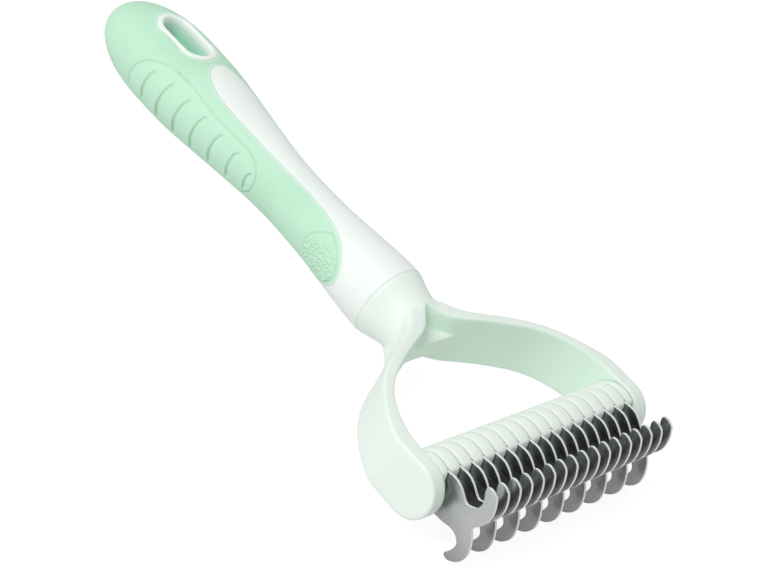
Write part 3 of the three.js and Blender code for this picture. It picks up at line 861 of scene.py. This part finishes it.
share = np.linspace(0, 1, GRIP_COLUMNS)
share = share - 0.02 * np.sin(2 * math.pi * share) - 0.01 * np.sin(4 * math.pi * share)  # closer at edges
y = grip_rows[:, None]
turn = edge_turn + (math.pi - 2 * edge_turn) * share
outer = skin(y, turn)
place_y = np.broadcast_to(y, turn.shape)
direction = degrees_round(outer)

window_edge_y = np.linspace(grip_tip, grip_window_tip, 1500)
window_edge_y = np.concatenate([window_edge_y, grip_window_tip - np.linspace(0, 1.2, 500) ** 2,
                                grip_tip + np.linspace(0, 1.2, 400) ** 2])
window_edge_x = window_half_width(window_edge_y, WINDOW_GAP)
edge_plan = np.vstack([np.column_stack([window_edge_x, window_edge_y]),
                       slot_path(RIM_WIDTH + WINDOW_GAP, count=600)])
edge_line = np.column_stack([edge_plan, surface_height(edge_plan)])
edge_line = np.vstack([edge_line, edge_line * (1, 1, -1)])
edge_distance = distances(outer, edge_line)

panel_line = surface_at(*smooth_line(panel_outline, steps=3, closed=True).T)
panel_distance = distances(outer, panel_line)
in_panel = inside_outline(place_y, direction, panel_outline)
height = -PANEL_GROOVE[0] * np.exp(-((panel_distance / PANEL_GROOVE[1]) ** 2))
height += PANEL_LIP[0] * np.exp(-(((panel_distance - PANEL_LIP[1]) / PANEL_LIP[2]) ** 2)) * in_panel
# Painted shade: a dark line along the panel's groove, stronger towards the underside, and one along each
# crescent's deep step, stronger at its lower end.
line_mark = 0.5 * np.exp(-((panel_distance / 0.22) ** 2)) * np.clip((direction - 50) / 40, 0.15, 1)
for deep_y, first, last in crescents:
    s = (direction - (first + last) / 2) / ((last - first) / 2)
    head_ward = (deep_y - CRESCENT_BOW * s**2 - place_y) / CRESCENT_WIDTH
    fill = 1 - np.abs(s) ** 5 - (2 * head_ward - 1) ** 2
    dip = np.clip(fill / 0.5, 0, 1)
    step_shade_line = np.exp(-(((head_ward * CRESCENT_WIDTH - STEP_SHADE_LINE[0]) / STEP_SHADE_LINE[1]) ** 2))
    step_shade_line = step_shade_line * np.clip((1.05 - np.abs(s)) / 0.1, 0, 1)
    line_mark = np.maximum(line_mark, step_shade_line * np.clip(0.55 + 0.6 * s, 0.15, 1))
    height -= CRESCENT_DEPTH * dip * dip * (3 - 2 * dip) * np.clip(1.05 - head_ward, 0.1, 1)

pad_reach = np.interp(np.abs(direction - 88), [0, 17, 31, 39, 48], [79.4, 78.6, 76.7, 74.9, 72.4])
pad_inside = np.minimum(pad_reach - place_y, edge_distance - PAD_MARGIN)
arc_place = np.radians(direction) * skin_radii(place_y)[1]
pebble_row = np.round(place_y / (PEBBLE_PITCH * PEBBLE_ROW_RATIO))
pebble_shift = np.where(pebble_row % 2 == 0, 0.0, 0.5)
pebble_column = np.round(arc_place / PEBBLE_PITCH - pebble_shift)


def scattered(row_factor, column_factor, spread):
    """A value from 0 to 1 for each pebble that looks random and is the same on every run."""
    value = np.sin(pebble_row * row_factor + pebble_column * column_factor) * spread
    return value - np.floor(value)


jitter = scattered(12.9898, 78.233, 43758.5453)
jitter_across = scattered(39.346, 11.135, 24634.6345)
pebble_y = (pebble_row + PEBBLE_JITTER * (jitter - 0.5)) * PEBBLE_PITCH * PEBBLE_ROW_RATIO
pebble_arc = (pebble_column + pebble_shift + PEBBLE_JITTER * (jitter_across - 0.5)) * PEBBLE_PITCH
pebble_distance = np.hypot(place_y - pebble_y, arc_place - pebble_arc) / (0.5 * PEBBLE_PITCH)
pebble = np.clip(1 - pebble_distance**2, 0, 1) ** 0.7 * np.clip(pad_inside / 0.5, 0, 1)
height += PEBBLE_HEIGHT * (0.7 + 0.3 * jitter) * pebble * np.clip((direction - 40) / 35, 0.35, 1)
height -= PAD_LINE[0] * np.exp(-((pad_inside / PAD_LINE[1]) ** 2))

outer = outer + skin_normals(y, turn) * (height - rounding(edge_distance, GRIP_EDGE))[..., None]
zone = np.maximum(in_panel * 1.0, np.clip(pad_inside / 0.3, 0, 1))
inner_share = np.linspace(1, 0, INNER_COLUMNS)
inner_turn = edge_turn + (math.pi - 2 * edge_turn) * inner_share
inner = skin(y, inner_turn, GRIP_EDGE + GRIP_SKIRT)
loops = np.concatenate([outer, inner], axis=1)
feather = np.exp(-((edge_distance / FEATHER_REACH) ** 2))
unseen = np.zeros(inner_turn.shape)
grip_mesh = mirrored_shell("grip", loops, wrap_columns=True, texture_zone=np.hstack([zone, unseen]),
                           feather_edge=np.hstack([feather, unseen]),
                           line_mark=np.hstack([line_mark, unseen]))

# Its crease colour is painted shade in the grip's grooves and hollows.
soft_grip = plastic("soft mint rubber", light=(0.56, 0.84, 0.65, 1), deep=(0.51, 0.80, 0.60, 1),
                    crease_shade=(0.26, 0.52, 0.36, 1), crease_shade_reach=0.9,
                    grain=4.0, smoothest=0.52, roughest=0.66, bump=0.35)
grip_shader = soft_grip.node_tree.nodes["Principled BSDF"]
grip_shader.inputs["Specular IOR Level"].default_value = 0.35
grip_shader.inputs["Sheen Weight"].default_value = 0.12
tint_where(soft_grip, "texture_zone", (0.565, 0.845, 0.655, 1), strength=0.55)
tint_where(soft_grip, "feather_edge", (0.86, 0.94, 0.89, 1), strength=0.5)
# Painted shade in the panel's groove and along the crescents' steps.
tint_where(soft_grip, "line_mark", (0.22, 0.44, 0.31, 1), strength=0.6)
add_piece("soft_grip_shell", finished(grip_mesh), soft_grip, ["grip_sleeve"])

# ---- table and light ----
# The tool rests on a wide pale table that glows faintly, as on a studio's light table.
# Soft light comes from all round, with one large lamp above the near side.

TABLE_REACH, TABLE_LINES = 3.0, 13
TABLE_GLOW = (0.48, 0.84)  # as it lights the tool, and as the camera sees it
BACKDROP_GLOW = (0.57, 1.0)
LAMP_PLACE, LAMP_SIZE, LAMP_POWER = (-0.65, 0.2, 0.75), 0.5, 5.1
CAMERA_PLACE, CAMERA_AIM = (-0.47008, -0.25573, 0.36290), (0.00249, -0.01903, 0.0119)
CAMERA_LENS, CAMERA_ROLL = 112.5, 31.734

table_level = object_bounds()[0].z
steps = np.linspace(-TABLE_REACH, TABLE_REACH, TABLE_LINES)
table_mesh = mesh_of("table", [[(x, y, table_level) for x in steps] for y in steps],
                     grid_faces(TABLE_LINES, TABLE_LINES))
table_mesh.shade_smooth()
table = bpy.data.objects.new("table", table_mesh)
bpy.context.scene.collection.objects.link(table)
table_top = bpy.data.materials.new("pale table")
table_top.use_nodes = True
table_tree = table_top.node_tree
table_shader = table_tree.nodes["Principled BSDF"]
paper = add_node(table_tree, "TexNoise", [("Scale", 900.0), ("Detail", 2.0)])
paper_tone = add_node(table_tree, "MixRGB", [(0, paper.outputs["Fac"]), (1, (0.26, 0.26, 0.26, 1)),
                                             (2, (0.28, 0.28, 0.28, 1))])
table_tree.links.new(paper_tone.outputs[0], table_shader.inputs["Base Color"])
table_shader.inputs["Roughness"].default_value = 0.9
table_shader.inputs["Emission Color"].default_value = (1, 1, 1, 1)
seen = add_node(table_tree, "LightPath").outputs["Is Camera Ray"]
glow = add_node(table_tree, "MapRange", [("Value", seen), ("To Min", TABLE_GLOW[0]),
                                         ("To Max", TABLE_GLOW[1])])
table_tree.links.new(glow.outputs[0], table_shader.inputs["Emission Strength"])
from_below = add_node(table_tree, "NewGeometry").outputs["Backfacing"]
clear = add_node(table_tree, "BsdfTransparent")
see_through = add_node(table_tree, "MixShader", [(0, from_below), (1, table_shader.outputs[0]),
                                                 (2, clear.outputs[0])])
table_tree.links.new(see_through.outputs[0], table_tree.nodes["Material Output"].inputs["Surface"])
table_mesh.materials.append(table_top)

world = bpy.data.worlds.new("studio")
bpy.context.scene.world = world
world.use_nodes = True
backdrop = world.node_tree.nodes["Background"]
backdrop.inputs["Color"].default_value = (0.965, 1, 0.975, 1)
seen = add_node(world.node_tree, "LightPath").outputs["Is Camera Ray"]
glow = add_node(world.node_tree, "MapRange", [("Value", seen), ("To Min", BACKDROP_GLOW[0]),
                                              ("To Max", BACKDROP_GLOW[1])])
world.node_tree.links.new(glow.outputs[0], backdrop.inputs["Strength"])

lamp_data = bpy.data.lights.new("large soft lamp", "AREA")
lamp_data.size, lamp_data.energy = LAMP_SIZE, LAMP_POWER
lamp = bpy.data.objects.new("large soft lamp", lamp_data)
lamp.location = LAMP_PLACE
lamp.rotation_euler = (Vector((0, 0, 0)) - lamp.location).to_track_quat("-Z", "Y").to_euler()
bpy.context.scene.collection.objects.link(lamp)

camera_data = bpy.data.cameras.new("camera")
camera_data.lens, camera_data.sensor_width = CAMERA_LENS, 36.0
camera_data.clip_start, camera_data.clip_end = 0.01, 20.0
camera = bpy.data.objects.new("camera", camera_data)
camera.location = CAMERA_PLACE
aim = Vector(CAMERA_AIM) - camera.location
camera.rotation_mode = "QUATERNION"
roll = Quaternion((0, 0, 1), math.radians(CAMERA_ROLL))
camera.rotation_quaternion = aim.to_track_quat("-Z", "Y") @ roll
bpy.context.scene.collection.objects.link(camera)
bpy.context.scene.camera = camera
bpy.context.scene.view_settings.view_transform = "Standard"
bpy.context.scene.view_settings.look = "None"
